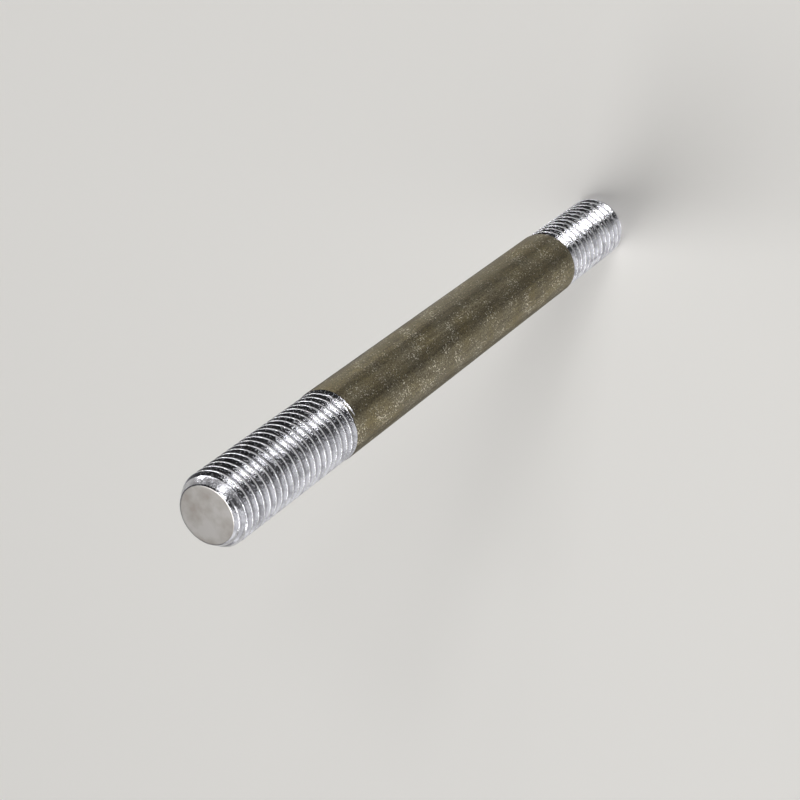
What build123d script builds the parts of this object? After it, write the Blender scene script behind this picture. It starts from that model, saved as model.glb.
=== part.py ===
from build123d import *
from math import ceil, radians, tan
import os

os.makedirs("parts", exist_ok=True)

# A double-ended stud that holds down a cylinder head: one turned steel rod with a right-hand thread
# cut on each end and a plain shank between them. It stands on its block end, the one with the
# shorter and coarser thread. The origin is the middle of that end's flat face, and +Z runs along
# the rod to the nut end.

# Driving dimensions, in millimetres and degrees
nominal_diameter = 10.0
overall_length = 110.0
flank_angle = 30.0
block_pitch = 1.5
block_thread_length = 19.4
nut_pitch = 1.25
nut_thread_length = 26.0

# The rod is turned down this much for its threads, so the crests stand a little under the shank
crest_undersize = 0.18

# Each end's flat face lies this far inside the bottom of its thread. A cone leads from the face out
# to the crests, and the edge between the two is broken.
face_inside_root = 0.1
end_cone_angle = 32.0
end_edge_break = 0.08

# Each groove runs past the shoulder by this many pitches at full depth, then fades out over this
# part of a turn. The fade ends at an angle from +X, about the line from that end into the rod.
runout_pitches = 0.4
fade_turn = 0.2
block_fade_angle = 200.0
nut_fade_angle = 120.0

# How far the groove's tool reaches outside the shank
tool_clearance = 0.04

# Sizes that follow from those
shank_radius = nominal_diameter / 2
crest_radius = (nominal_diameter - crest_undersize) / 2
shoulder_step = shank_radius - crest_radius
tool_radius = shank_radius + tool_clearance


def root_radius(pitch):
    """The bottom of the groove, which is seven eighths of the thread's sharp triangle deep."""
    sharp_height = pitch / 2 / tan(radians(flank_angle))
    return nominal_diameter / 2 - sharp_height * 7 / 8


def face_radius(pitch):
    """The edge of an end's flat face, before it is broken."""
    return root_radius(pitch) - face_inside_root


def cone_length(pitch):
    """How far an end's cone reaches along the rod before it meets the crests."""
    return (crest_radius - face_radius(pitch)) / tan(radians(end_cone_angle))


def groove_section(path, position, outward=0):
    """The groove's outline at a position on its helix, in a plane through the rod's axis."""
    point = path @ position
    radial = Vector(point.X, point.Y, 0)
    depth = tool_radius - radial.length
    half_width = depth * tan(radians(flank_angle))
    axial_plane = Plane(origin=point, x_dir=radial, z_dir=Vector(0, 0, 1).cross(radial))
    with BuildSketch(axial_plane) as outline:
        with BuildLine():
            Polyline(
                (outward, 0),
                (outward + depth, half_width),
                (outward + depth, -half_width),
                close=True,
            )
        make_face()
    return outline.sketch


def groove_turn(pitch):
    """One whole turn of the groove at full depth, from +X at z = 0."""
    path = Helix(pitch=pitch, height=pitch, radius=root_radius(pitch))
    with BuildPart() as turn:
        sweep(sections=groove_section(path, 0), path=path, is_frenet=True)
    return turn.part


def groove_fade(pitch):
    """The end of the groove, where its tool draws out of the rod while the rod still turns."""
    path = Helix(pitch=pitch, height=pitch * fade_turn, radius=root_radius(pitch))
    drawn_out = tool_radius - root_radius(pitch)
    with BuildPart() as fade:
        sweep(
            sections=[groove_section(path, 0), groove_section(path, 1, outward=drawn_out)],
            path=path,
            is_frenet=True,
            multisection=True,
        )
    return fade.part


def cut_thread(pitch, thread_length, fade_angle, turn, fade):
    """Cuts a thread into the rod from an end face at z = 0 up to its shoulder."""
    full_depth_end = thread_length + runout_pitches * pitch
    start_angle = fade_angle - 360 * fade_turn
    turns = ceil(full_depth_end / pitch) + 1
    for index in range(turns):
        start_height = full_depth_end - pitch * (index + 1)
        with Locations(Location((0, 0, start_height), (0, 0, start_angle))):
            add(turn, mode=Mode.SUBTRACT)
    with Locations(Location((0, 0, full_depth_end), (0, 0, start_angle))):
        add(fade, mode=Mode.SUBTRACT)


block_turn, block_fade = groove_turn(block_pitch), groove_fade(block_pitch)
nut_turn, nut_fade = groove_turn(nut_pitch), groove_fade(nut_pitch)
nut_shoulder = overall_length - nut_thread_length

with BuildPart() as stud:
    # The turned blank, with a cone at each end and a shoulder where each thread meets the shank
    with BuildSketch(Plane.XZ):
        with BuildLine():
            Polyline(
                (0, 0),
                (face_radius(block_pitch), 0),
                (crest_radius, cone_length(block_pitch)),
                (crest_radius, block_thread_length),
                (shank_radius, block_thread_length + shoulder_step),
                (shank_radius, nut_shoulder - shoulder_step),
                (crest_radius, nut_shoulder),
                (crest_radius, overall_length - cone_length(nut_pitch)),
                (face_radius(nut_pitch), overall_length),
                (0, overall_length),
                close=True,
            )
        make_face()
    revolve(axis=Axis.Z)
    chamfer(stud.faces().filter_by(Axis.Z).edges(), length=end_edge_break)

    # The threads
    cut_thread(block_pitch, block_thread_length, block_fade_angle, block_turn, block_fade)
    with Locations(Location((0, 0, overall_length), (180, 0, 0))):
        cut_thread(nut_pitch, nut_thread_length, nut_fade_angle, nut_turn, nut_fade)

stud.part.label = "stud"
export_step(stud.part, "parts/stud.step")
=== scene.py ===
# Cylinder head stud, stood on its block end: two threads, a plain shank and two turned end faces
import bpy
import bmesh
import numpy as np
from math import cos, pi, radians, sin, tan
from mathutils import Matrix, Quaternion, Vector


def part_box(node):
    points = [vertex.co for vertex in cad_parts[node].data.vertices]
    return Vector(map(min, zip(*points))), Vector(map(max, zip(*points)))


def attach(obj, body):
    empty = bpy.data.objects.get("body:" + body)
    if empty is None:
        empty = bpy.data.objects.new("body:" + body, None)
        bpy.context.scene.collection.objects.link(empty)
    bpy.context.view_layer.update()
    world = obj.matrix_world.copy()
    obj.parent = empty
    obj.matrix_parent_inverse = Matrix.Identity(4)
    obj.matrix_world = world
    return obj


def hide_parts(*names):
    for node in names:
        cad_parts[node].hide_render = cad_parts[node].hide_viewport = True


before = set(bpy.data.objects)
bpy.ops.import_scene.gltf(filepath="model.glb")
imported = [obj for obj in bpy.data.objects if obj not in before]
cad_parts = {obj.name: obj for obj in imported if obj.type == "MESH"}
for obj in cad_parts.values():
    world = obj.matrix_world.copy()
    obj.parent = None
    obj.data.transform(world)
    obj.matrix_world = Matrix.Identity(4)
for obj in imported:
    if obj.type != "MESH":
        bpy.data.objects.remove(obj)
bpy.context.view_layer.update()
mm = 0.001  # the frame is in metres
waveScale = 2 * pi / 20  # a Wave texture of this scale repeats each metre
print("frame loaded")


def linearColour(hexCode):
    channels = [int(hexCode[i:i + 2], 16) / 255 for i in (1, 3, 5)]
    return [c / 12.92 if c <= 0.04045 else ((c + 0.055) / 1.055) ** 2.4 for c in channels] + [1]


# The owner is a material or the world
def emptyNodes(owner):
    owner.use_nodes = True
    owner.node_tree.nodes.clear()
    return owner


# An input that shares its name with another is linked by its number
def addNode(owner, kind, settings=None, links=None):
    node = owner.node_tree.nodes.new(kind)
    for name, value in (settings or {}).items():
        if name in node.inputs:
            node.inputs[name].default_value = value
        else:
            setattr(node, name, value)
    for name, source in (links or {}).items():
        owner.node_tree.links.new(source, node.inputs[name])
    return node


# Sizes of the stud, in millimetres, as the frame has it
stud = {
    "crestUndersize": 0.18,    # the rod is turned down this much for its threads
    "flankAngle": 30,          # degrees, from a plane square to the rod
    "threadDepth": 7 / 8,      # of the thread's sharp triangle
    "faceInsideRoot": 0.1,     # end face, inside the bottom of the thread
    "endConeAngle": 32,        # degrees, from the rod's own line
    "endEdgeBreak": 0.08,
    "runoutPitches": 0.4,      # full depth goes this far past the shoulder
    "plainPitches": 2,         # and a threaded end's rows go this far past it
    "fadeTurn": 0.2,           # part of a turn in which the groove comes out
    "toolClearance": 0.04,
    "rootRounding": 0.144,     # of the pitch: the radius that a threading tool leaves
    "rootRows": (0.35, 0.7, 1),   # mesh rows over half of the rounded bottom, as parts of its width
    "crestRounding": 0.05,     # plating softens the crests' edges
    "crestDrop": 0.3,          # of that rounding: how far an edge is taken down
    "columns": 180,            # steps round the rod
    "shankRings": 12,
    "faceRings": 6,
    "halvings": 30,            # steps that find where a flank meets the blank
    "mergeDistance": 0.0015,   # points nearer than this become one
    "sharpAngle": 38,          # degrees, past which an edge is shaded sharp
}
finishOrder = ["thread", "shank", "face"]  # the order of the mesh's material slots
blockThread = {"pitch": 1.5, "length": 19.4, "fadeAngle": 200}
nutThread = {"pitch": 1.25, "length": 26.0, "fadeAngle": 120}

lowCorner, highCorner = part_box("stud")
overallLength = (highCorner[2] - lowCorner[2]) / mm
shankRadius = min(highCorner[0] - lowCorner[0], highCorner[1] - lowCorner[1]) / 2 / mm
crestRadius = shankRadius - stud["crestUndersize"] / 2
flankSlope = 1 / tan(radians(stud["flankAngle"]))  # a flank's rise per millimetre along the rod


def sharpRootRadius(thread):
    return shankRadius - thread["pitch"] / 2 * flankSlope * stud["threadDepth"]


def fadeStart(thread):
    return thread["fadeAngle"] - 360 * stud["fadeTurn"]


# The turned blank from one end face to past its shoulder, as heights and radii
def blankOutline(thread):
    faceRadius = sharpRootRadius(thread) - stud["faceInsideRoot"]
    coneAngle = radians(stud["endConeAngle"])
    coneLength = (crestRadius - faceRadius) / tan(coneAngle)
    edgeBreak = stud["endEdgeBreak"]
    step = shankRadius - crestRadius
    return np.array([
        (0, faceRadius - edgeBreak),
        (edgeBreak * cos(coneAngle), faceRadius + edgeBreak * sin(coneAngle)),
        (coneLength, crestRadius),
        (thread["length"], crestRadius),
        (thread["length"] + step, shankRadius),
        (thread["length"] + stud["plainPitches"] * thread["pitch"], shankRadius),
    ])


# The groove's middle for each turn and column, and how far the tool has drawn out there. Past the
# fade there is no groove: its points slide along the plain rod to the outline's last height.
def grooveTurns(thread, angles, lastHeight):
    fullDepthEnd = thread["length"] + stud["runoutPitches"] * thread["pitch"]
    turnCount = int(fullDepthEnd / thread["pitch"]) + 3  # passes the end face in every column
    turns = (angles - fadeStart(thread)) / 360 - np.arange(turnCount)[:, None]
    heights = fullDepthEnd + thread["pitch"] * turns
    pastFade = np.clip((turns - stud["fadeTurn"]) / (1 - stud["fadeTurn"]), 0, 1)
    reach = shankRadius + stud["toolClearance"] - sharpRootRadius(thread)
    lifts = reach * np.clip(turns / stud["fadeTurn"], 0, 1)
    return heights + pastFade * (lastHeight - heights), lifts


# A V with a rounded bottom
def grooveRadius(thread, offsets, lifts):
    rounding = stud["rootRounding"] * thread["pitch"]
    halfAngle = radians(stud["flankAngle"])
    sharp = sharpRootRadius(thread) + lifts
    arc = np.sqrt(np.maximum(rounding ** 2 - offsets ** 2, 0))
    bottom = sharp + rounding / sin(halfAngle) - arc
    flank = sharp + np.abs(offsets) * flankSlope
    return np.where(np.abs(offsets) < rounding * cos(halfAngle), bottom, flank)


# Heights and radii of one threaded end, from its face inwards. Each column is sorted by height, so
# the rows follow the helix and still meet the cone and the shoulder exactly.
def threadedEnd(thread, angles):
    outline = blankOutline(thread)

    def blankRadius(heights):
        return np.interp(heights, outline[:, 0], outline[:, 1])

    centres, lifts = grooveTurns(thread, angles, outline[-1, 0])
    bottomWidth = stud["rootRounding"] * thread["pitch"] * cos(radians(stud["flankAngle"]))
    heights, radii = [centres], [grooveRadius(thread, 0 * centres, lifts)]
    for side in (-1, 1):
        # Halving finds the width at which each flank meets the blank
        width, outer = 0 * centres, thread["pitch"] + 0 * centres
        for _ in range(stud["halvings"]):
            middle = (width + outer) / 2
            under = grooveRadius(thread, middle, lifts) < blankRadius(centres + side * middle)
            width, outer = np.where(under, middle, width), np.where(under, outer, middle)
        rounding = np.minimum(stud["crestRounding"], width / 3)  # less where the groove fades out
        flankTop = width - rounding / 2
        bottomRows = [np.minimum(bottomWidth * part, flankTop) for part in stud["rootRows"]]
        for offset in (*bottomRows, flankTop):
            heights.append(centres + side * offset)
            radii.append(grooveRadius(thread, offset, lifts))
        for offset, drop in ((width, stud["crestDrop"] * rounding), (width + rounding, 0)):
            heights.append(centres + side * offset)
            radii.append(blankRadius(centres + side * offset) - drop)
    for height in outline[:, 0]:
        ring = height + 0 * centres[:1]
        heights.append(ring)
        radii.append(np.min(grooveRadius(thread, ring - centres, lifts), axis=0, keepdims=True))
    heights, radii = np.concatenate(heights), np.concatenate(radii)
    heights = np.clip(heights, 0, outline[-1, 0])
    radii = np.minimum(radii, blankRadius(heights))
    order = np.argsort(heights, axis=0, kind="stable")
    heights, radii = (np.take_along_axis(table, order, axis=0) for table in (heights, radii))
    # The face's rings crowd towards its edge, so that it shades flat nearly all the way out
    rings = 1 - np.linspace(1, 0, stud["faceRings"], endpoint=False)[:, None] ** 2
    faceRadii = rings * radii[0]
    return np.concatenate([0 * faceRadii, heights]), np.concatenate([faceRadii, radii])


# Points and four-sided faces of a grid of rows round the rod's line
def gridOf(heights, radii, angles):
    turn = np.radians(angles)
    points = np.stack([radii * np.cos(turn), radii * np.sin(turn), heights + 0 * radii], axis=-1)
    index = np.arange(heights.size).reshape(heights.shape)
    corners = (index[:-1, :-1], index[:-1, 1:], index[1:, 1:], index[1:, :-1])
    return points.reshape(-1, 3), np.stack(corners, axis=-1).reshape(-1, 4)


def buildStud():
    step = 360 / stud["columns"]
    allPoints, allFaces, allFinishes = [], [], []

    def keep(points, faces, finishes):
        allFaces.append(faces + sum(map(len, allPoints)))
        allPoints.append(points)
        allFinishes.append(finishes)

    # Each end starts its columns at its own fade, and the last column closes on the first
    for thread, turnedOver in ((blockThread, False), (nutThread, True)):
        firstColumn = int(np.ceil(fadeStart(thread) / step))
        angles = (firstColumn + np.arange(stud["columns"] + 1)) * step
        heights, radii = threadedEnd(thread, angles)
        points, faces = gridOf(heights, radii, angles)
        if turnedOver:
            points = points * (1, -1, -1) + (0, 0, overallLength)
        rowHeight = ((heights[:-1] + heights[1:]) / 2)[:, :-1].ravel()
        rowRadius = ((radii[:-1] + radii[1:]) / 2)[:, :-1].ravel()
        plain = (rowHeight > thread["length"]) & (rowRadius > (crestRadius + shankRadius) / 2)
        finishes = np.where(rowHeight == 0, finishOrder.index("face"), finishOrder.index("thread"))
        keep(points, faces, np.where(plain, finishOrder.index("shank"), finishes))

    blockTop = blankOutline(blockThread)[-1, 0]
    nutTop = overallLength - blankOutline(nutThread)[-1, 0]
    angles = np.arange(stud["columns"] + 1) * step
    heights = np.linspace(blockTop, nutTop, stud["shankRings"])[:, None] + 0 * angles
    points, faces = gridOf(heights, shankRadius + 0 * heights, angles)
    keep(points, faces, np.full(len(faces), finishOrder.index("shank")))

    points, faces = np.concatenate(allPoints) * mm, np.concatenate(allFaces)
    mesh = bpy.data.meshes.new("stud_surface")
    mesh.from_pydata(points.tolist(), [], faces.tolist())
    mesh.polygons.foreach_set("material_index", np.concatenate(allFinishes).astype(np.int32))
    work = bmesh.new()
    work.from_mesh(mesh)
    bmesh.ops.remove_doubles(work, verts=work.verts, dist=stud["mergeDistance"] * mm)
    work.to_mesh(mesh)
    work.free()
    mesh.shade_smooth()
    mesh.set_sharp_from_angle(angle=radians(stud["sharpAngle"]))
    piece = bpy.data.objects.new("stud_surface", mesh)
    bpy.context.scene.collection.objects.link(piece)
    return piece


studSurface = buildStud()
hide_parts("stud")
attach(studSurface, "root")
print("stud surface built:", len(studSurface.data.polygons), "faces")


# Bright zinc plate over a cut thread: silver with a faint blue cast, mirror-like on the flanks,
# with painted shade in the bottoms of the grooves. Fine crystals of zinc break its highlights into
# sparkle.
threadFinish = {
    "colour": "#D4D4DA", "darkColour": "#ACACB1", "paintedShadeColour": "#505055",
    "blotchSize": 1.8,                                      # mm
    "blotchLimits": {"From Min": 0.35, "From Max": 0.55},   # noise: dark colour to light
    "shadeReach": 1.2,                                       # mm: nearer walls give a groove painted shade
    "paintedShadeLimits": {"From Min": 0.35, "From Max": 0.75},     # openness: painted shade to plate
    "grainSize": 0.26, "grainHeight": 0.034,                # mm
    "roughness": {"From Min": 0.54, "From Max": 0.64, "To Min": 0.13, "To Max": 0.36},  # by grain
    "toolLineSpacing": 0.11,    # mm, coarser than the real 0.03 so that it shows
    "toolLineHeight": 0.0012,   # mm
}


def cutThreadZinc():
    material = emptyNodes(bpy.data.materials.new("bright_zinc_on_cut_thread"))
    place = addNode(material, "ShaderNodeTexCoord").outputs["Object"]
    grain = addNode(material, "ShaderNodeTexNoise", {
        "Scale": 1 / (threadFinish["grainSize"] * mm), "Detail": 3, "Roughness": 0.6},
        {"Vector": place})
    blotch = addNode(material, "ShaderNodeTexNoise", {
        "Scale": 1 / (threadFinish["blotchSize"] * mm), "Detail": 4}, {"Vector": place})
    lines = addNode(material, "ShaderNodeTexWave", {
        "wave_type": "BANDS", "bands_direction": "Z", "Distortion": 1.5, "Detail": 2,
        "Scale": waveScale / (threadFinish["toolLineSpacing"] * mm)}, {"Vector": place})
    blotchShare = addNode(material, "ShaderNodeMapRange", threadFinish["blotchLimits"], {
        "Value": blotch.outputs["Fac"]})
    colour = addNode(material, "ShaderNodeMix", {
        "data_type": "RGBA", "A": linearColour(threadFinish["darkColour"]),
        "B": linearColour(threadFinish["colour"])}, {"Factor": blotchShare.outputs["Result"]})
    # How open each point is to its surroundings puts painted shade in the bottoms of the grooves
    openness = addNode(material, "ShaderNodeAmbientOcclusion", {
        "only_local": True, "Distance": threadFinish["shadeReach"] * mm})
    openShare = addNode(material, "ShaderNodeMapRange", threadFinish["paintedShadeLimits"], {
        "Value": openness.outputs["AO"]})
    plate = addNode(material, "ShaderNodeMix", {
        "data_type": "RGBA", "A": linearColour(threadFinish["paintedShadeColour"])}, {
        "Factor": openShare.outputs["Result"], "B": colour.outputs["Result"]})
    roughness = addNode(material, "ShaderNodeMapRange", threadFinish["roughness"], {
        "Value": grain.outputs["Fac"]})
    lineBump = addNode(material, "ShaderNodeBump", {
        "Strength": 1, "Distance": threadFinish["toolLineHeight"] * mm}, {
        "Height": lines.outputs["Fac"]})
    grainBump = addNode(material, "ShaderNodeBump", {
        "Strength": 1, "Distance": threadFinish["grainHeight"] * mm}, {
        "Height": grain.outputs["Fac"], "Normal": lineBump.outputs["Normal"]})
    shader = addNode(material, "ShaderNodeBsdfPrincipled", {"Metallic": 1}, {
        "Base Color": plate.outputs["Result"], "Roughness": roughness.outputs["Result"],
        "Normal": grainBump.outputs["Normal"]})
    addNode(material, "ShaderNodeOutputMaterial", links={"Surface": shader.outputs["BSDF"]})
    return material


# The same plate over the ground shank, left dull: olive-grey with gold in it, with painted shade
# darkening it well below the threads' plate. Fine lines round the rod draw each light out into a
# bright band along it, and pale points of painted glint stand for single crystals catching it.
shankFinish = {
    # These shades are darker than the plate itself: painted shade over its real olive and gold tint
    "colour": "#736D5B", "darkColour": "#484237", "goldColour": "#746A4C", "paintedGlintColour": "#D2CDBD",
    "anisotropic": 0.9, "anisotropicTurn": 0.25,   # a quarter turn lays the bands along the rod
    "grainSize": 0.2, "grainHeight": 0.008,        # mm
    "roughness": {"From Min": 0.3, "From Max": 0.7, "To Min": 0.44, "To Max": 0.52},  # by grain
    "cloudSize": 5,                                # mm
    "goldLimits": {"From Min": 0.4, "From Max": 0.66, "To Max": 0.8},   # cloud: plate to gold
    "streakWidth": 0.4, "streakLength": 5,         # mm
    "streakShare": 0.25,                           # the rest of the dark pattern is grain
    "darkLimits": {"From Min": 0.4, "From Max": 0.62},   # pattern: dark colour to plate
    "speckSize": 0.23, "clusterSize": 2.6,         # mm
    "speckFloor": {"From Min": 0.3, "From Max": 0.7, "To Min": 0.71, "To Max": 0.55},  # by cluster
    "glintLimits": {"From Min": 0, "From Max": 0.14, "To Max": 0.75},   # noise above that floor: plate to painted glint
}


def groundShankZinc():
    material = emptyNodes(bpy.data.materials.new("dull_zinc_on_ground_shank"))
    place = addNode(material, "ShaderNodeTexCoord").outputs["Object"]
    grain = addNode(material, "ShaderNodeTexNoise", {
        "Scale": 1 / (shankFinish["grainSize"] * mm), "Detail": 3, "Roughness": 0.6},
        {"Vector": place})
    cloud = addNode(material, "ShaderNodeTexNoise", {
        "Scale": 1 / (shankFinish["cloudSize"] * mm), "Detail": 4}, {"Vector": place})
    goldShare = addNode(material, "ShaderNodeMapRange", shankFinish["goldLimits"], {
        "Value": cloud.outputs["Fac"]})
    tint = addNode(material, "ShaderNodeMix", {
        "data_type": "RGBA", "A": linearColour(shankFinish["colour"]),
        "B": linearColour(shankFinish["goldColour"])}, {"Factor": goldShare.outputs["Result"]})
    # Streaks along the rod are noise of their width, drawn out to their length
    drawnOut = addNode(material, "ShaderNodeMapping", {
        "Scale": (1, 1, shankFinish["streakWidth"] / shankFinish["streakLength"])}, {
        "Vector": place})
    streak = addNode(material, "ShaderNodeTexNoise", {
        "Scale": 1 / (shankFinish["streakWidth"] * mm), "Detail": 2}, {
        "Vector": drawnOut.outputs["Vector"]})
    pattern = addNode(material, "ShaderNodeMix", {
        "data_type": "FLOAT", "Factor": shankFinish["streakShare"]}, {
        "A": grain.outputs["Fac"], "B": streak.outputs["Fac"]})
    darkShare = addNode(material, "ShaderNodeMapRange", shankFinish["darkLimits"], {
        "Value": pattern.outputs["Result"]})
    shade = addNode(material, "ShaderNodeMix", {
        "data_type": "RGBA", "A": linearColour(shankFinish["darkColour"])}, {
        "Factor": darkShare.outputs["Result"], "B": tint.outputs["Result"]})
    # Painted glints show where fine noise rises above a floor, which is lower inside a cluster
    speck = addNode(material, "ShaderNodeTexNoise", {
        "Scale": 1 / (shankFinish["speckSize"] * mm), "Detail": 1, "Roughness": 0.5},
        {"Vector": place})
    cluster = addNode(material, "ShaderNodeTexNoise", {
        "Scale": 1 / (shankFinish["clusterSize"] * mm), "Detail": 2}, {"Vector": place})
    speckFloor = addNode(material, "ShaderNodeMapRange", shankFinish["speckFloor"], {
        "Value": cluster.outputs["Fac"]})
    above = addNode(material, "ShaderNodeMath", {"operation": "SUBTRACT"}, {
        0: speck.outputs["Fac"], 1: speckFloor.outputs["Result"]})
    glintShare = addNode(material, "ShaderNodeMapRange", shankFinish["glintLimits"], {
        "Value": above.outputs["Value"]})
    withPaintedGlints = addNode(material, "ShaderNodeMix", {
        "data_type": "RGBA", "B": linearColour(shankFinish["paintedGlintColour"])}, {
        "Factor": glintShare.outputs["Result"], "A": shade.outputs["Result"]})
    roughness = addNode(material, "ShaderNodeMapRange", shankFinish["roughness"], {
        "Value": grain.outputs["Fac"]})
    bump = addNode(material, "ShaderNodeBump", {
        "Strength": 1, "Distance": shankFinish["grainHeight"] * mm}, {
        "Height": grain.outputs["Fac"]})
    roundRod = addNode(material, "ShaderNodeTangent", {"direction_type": "RADIAL", "axis": "Z"})
    shader = addNode(material, "ShaderNodeBsdfPrincipled", {
        "Metallic": 1, "Anisotropic": shankFinish["anisotropic"],
        "Anisotropic Rotation": shankFinish["anisotropicTurn"]}, {
        "Base Color": withPaintedGlints.outputs["Result"], "Roughness": roughness.outputs["Result"],
        "Normal": bump.outputs["Normal"], "Tangent": roundRod.outputs["Tangent"]})
    addNode(material, "ShaderNodeOutputMaterial", links={"Surface": shader.outputs["BSDF"]})
    return material


# Zinc over a faced end: smooth and satin, with the faint rings of the facing cut
faceFinish = {
    "colour": "#B8B5B2", "stainColour": "#A29C96", "roughness": 0.28,
    "stainSize": 2.4,                                      # mm
    "stainLimits": {"From Min": 0.4, "From Max": 0.65},    # noise: plate to stain
    "ringSpacing": 0.25, "ringHeight": 0.0006,             # mm
}


def facedEndZinc():
    material = emptyNodes(bpy.data.materials.new("satin_zinc_on_faced_end"))
    place = addNode(material, "ShaderNodeTexCoord").outputs["Object"]
    stain = addNode(material, "ShaderNodeTexNoise", {
        "Scale": 1 / (faceFinish["stainSize"] * mm), "Detail": 5}, {"Vector": place})
    stainShare = addNode(material, "ShaderNodeMapRange", faceFinish["stainLimits"], {
        "Value": stain.outputs["Fac"]})
    colour = addNode(material, "ShaderNodeMix", {
        "data_type": "RGBA", "A": linearColour(faceFinish["colour"]),
        "B": linearColour(faceFinish["stainColour"])}, {"Factor": stainShare.outputs["Result"]})
    rings = addNode(material, "ShaderNodeTexWave", {
        "wave_type": "RINGS", "rings_direction": "Z", "Distortion": 0.6, "Detail": 2,
        "Scale": waveScale / (faceFinish["ringSpacing"] * mm)}, {"Vector": place})
    bump = addNode(material, "ShaderNodeBump", {
        "Strength": 1, "Distance": faceFinish["ringHeight"] * mm}, {
        "Height": rings.outputs["Fac"]})
    shader = addNode(material, "ShaderNodeBsdfPrincipled", {
        "Metallic": 1, "Roughness": faceFinish["roughness"]}, {
        "Base Color": colour.outputs["Result"], "Normal": bump.outputs["Normal"]})
    addNode(material, "ShaderNodeOutputMaterial", links={"Surface": shader.outputs["BSDF"]})
    return material


for material in (cutThreadZinc(), groundShankZinc(), facedEndZinc()):  # as in finishOrder
    studSurface.data.materials.append(material)
print("finishes made")


studio = {
    "floorColour": "#F0EEEA", "floorRoughness": 0.7, "floorSpecular": 0.2,
    "floorSize": 40,               # m
    "worldColour": "#FFFFFF", "worldStrength": 0.035,
    "backdropStrength": 0.36,      # the pale walls, which only the camera and reflections see
    "backdropTop": (0.17, 0.42),   # they fade out between these heights: sines of the angle up
}
# Each lamp: its direction from the stud's middle, its distance from there and its width and height
# in metres, and its power in watts. The two strips stand close to the stud and light nothing else.
lamps = {
    "soft_box_left": {
        "direction": (-0.84, 0.05, 0.6), "distance": 1.0, "size": (2, 1.15), "power": 6},
    "key_near_thread": {
        "direction": (0.27, -0.42, 0.87), "distance": 1.1, "size": (0.18, 0.12), "power": 0.65},
    "key_far_thread": {
        "direction": (0.25, -0.66, 0.71), "distance": 1.1, "size": (0.28, 0.12), "power": 1.9},
    "front_fill": {
        "direction": (0.5, -0.8, 0.34), "distance": 1.0, "size": (0.35, 0.35), "power": 1.1},
    "back_panel": {
        "direction": (-0.1, 0.65, 0.75), "distance": 1.2, "size": (1.6, 1.6), "power": 1},
    "strip_left": {
        "direction": (-0.87, -0.5, -0.125), "distance": 0.28, "size": (0.4, 0.03), "power": 0.64,
        "onlyStud": True},
    "strip_right": {
        "direction": (1, -0.08, -0.14), "distance": 0.25, "size": (0.25, 0.03), "power": 0.4,
        "onlyStud": True},
}
# A broad sun from above and behind lights the whole floor evenly
sun = {
    "direction": (0, 0.4, 0.92), "distance": 1,  # m, though a sun lights alike from any distance
    "width": 28,                                 # degrees, as seen from the stud
    "strength": 1.2,                             # W/m2
}
# The photograph's view: the nut end nearest, and the rod running up to the right
view = {
    "location": (0, -161.37, 266.58),  # mm
    "target": (-3.05, -0.06, 68.26),   # mm
    "roll": -127.47,                   # degrees
    "lens": 85.22, "sensor": 36,       # mm
    "clipStart": 10,                   # mm
}


# Studio paper: matt and pale, so that it shows the stud's shadow and hardly mirrors it
def layFloor():
    bpy.ops.mesh.primitive_plane_add(size=studio["floorSize"])
    floor = bpy.context.object
    floor.name = "floor"
    material = emptyNodes(bpy.data.materials.new("matt_pale_paper"))
    shader = addNode(material, "ShaderNodeBsdfPrincipled", {
        "Base Color": linearColour(studio["floorColour"]), "Roughness": studio["floorRoughness"],
        "Specular IOR Level": studio["floorSpecular"]})
    addNode(material, "ShaderNodeOutputMaterial", links={"Surface": shader.outputs["BSDF"]})
    floor.data.materials.append(material)


# Aims a light at the stud's middle, and keeps its shape out of the picture
def hangLight(light, direction, distance):
    source = bpy.data.objects.new(light.name, light)
    towards = Vector(direction).normalized()
    source.location = Vector((0, 0, overallLength / 2 * mm)) + towards * distance
    source.rotation_euler = towards.to_track_quat("Z", "Y").to_euler()
    source.visible_camera = False
    bpy.context.scene.collection.objects.link(source)
    return source


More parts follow.
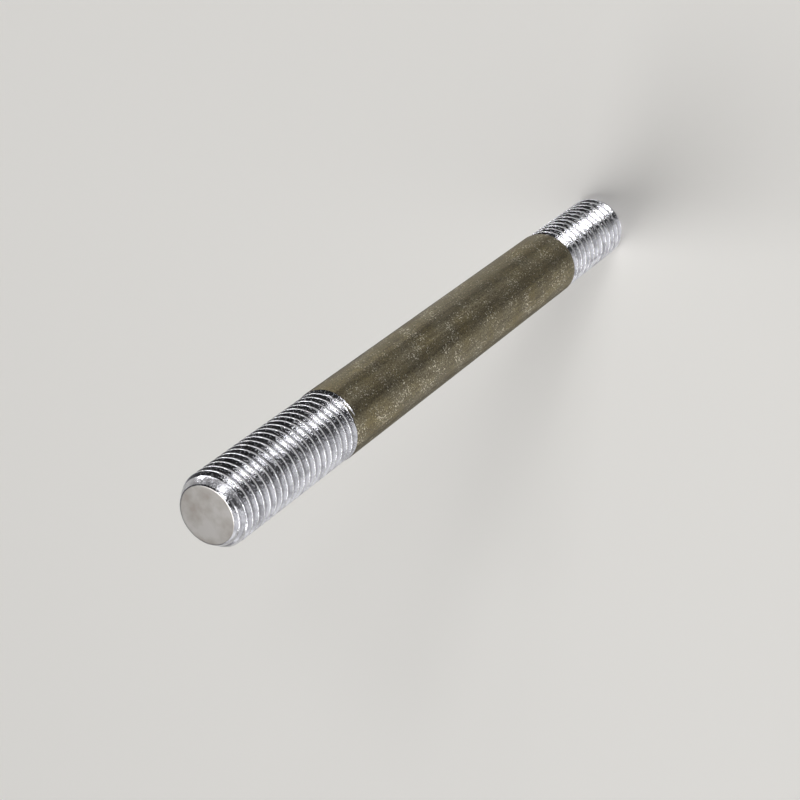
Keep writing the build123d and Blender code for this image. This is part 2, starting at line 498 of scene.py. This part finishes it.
def hangLights():
    onlyStud = bpy.data.collections.new("lit_by_strips")
    onlyStud.objects.link(studSurface)
    for name, lamp in lamps.items():
        light = bpy.data.lights.new(name, "AREA")
        light.shape = "RECTANGLE"
        light.size, light.size_y = lamp["size"]
        light.energy = lamp["power"]
        source = hangLight(light, lamp["direction"], lamp["distance"])
        if "onlyStud" in lamp:
            source.light_linking.receiver_collection = onlyStud
    light = bpy.data.lights.new("sun", "SUN")
    light.angle = radians(sun["width"])
    light.energy = sun["strength"]
    hangLight(light, sun["direction"], sun["distance"])


# A dim white world. For the camera and for reflections it has pale walls, up to the backdrop's top.
def buildBackdrop():
    world = emptyNodes(bpy.data.worlds.new("studio"))
    path = addNode(world, "ShaderNodeLightPath")
    seen = addNode(world, "ShaderNodeMath", {"operation": "MAXIMUM"}, {
        0: path.outputs["Is Camera Ray"], 1: path.outputs["Is Glossy Ray"]})
    direction = addNode(world, "ShaderNodeTexCoord").outputs["Generated"]
    height = addNode(world, "ShaderNodeSeparateXYZ", links={"Vector": direction}).outputs["Z"]
    low, high = studio["backdropTop"]
    wall = addNode(world, "ShaderNodeMapRange", {
        "From Min": low, "From Max": high,
        "To Min": studio["backdropStrength"], "To Max": studio["worldStrength"]}, {
        "Value": height})
    strength = addNode(world, "ShaderNodeMix", {
        "data_type": "FLOAT", "A": studio["worldStrength"]}, {
        "Factor": seen.outputs["Value"], "B": wall.outputs["Result"]})
    background = addNode(world, "ShaderNodeBackground", {
        "Color": linearColour(studio["worldColour"])}, {"Strength": strength.outputs["Result"]})
    addNode(world, "ShaderNodeOutputWorld", links={"Surface": background.outputs["Background"]})
    bpy.context.scene.world = world


def buildCamera():
    camera = bpy.data.objects.new("camera", bpy.data.cameras.new("camera"))
    camera.data.lens = view["lens"]
    camera.data.sensor_width = view["sensor"]
    camera.data.clip_start = view["clipStart"] * mm
    location, target = Vector(view["location"]) * mm, Vector(view["target"]) * mm
    backward = (location - target).normalized()
    roll = Quaternion(backward, radians(view["roll"]))
    camera.location = location
    camera.rotation_mode = "QUATERNION"
    camera.rotation_quaternion = roll @ backward.to_track_quat("Z", "Y")
    bpy.context.scene.collection.objects.link(camera)
    bpy.context.scene.camera = camera


layFloor()
hangLights()
buildBackdrop()
buildCamera()
bpy.context.scene.view_settings.view_transform = "Standard"
print("studio ready")
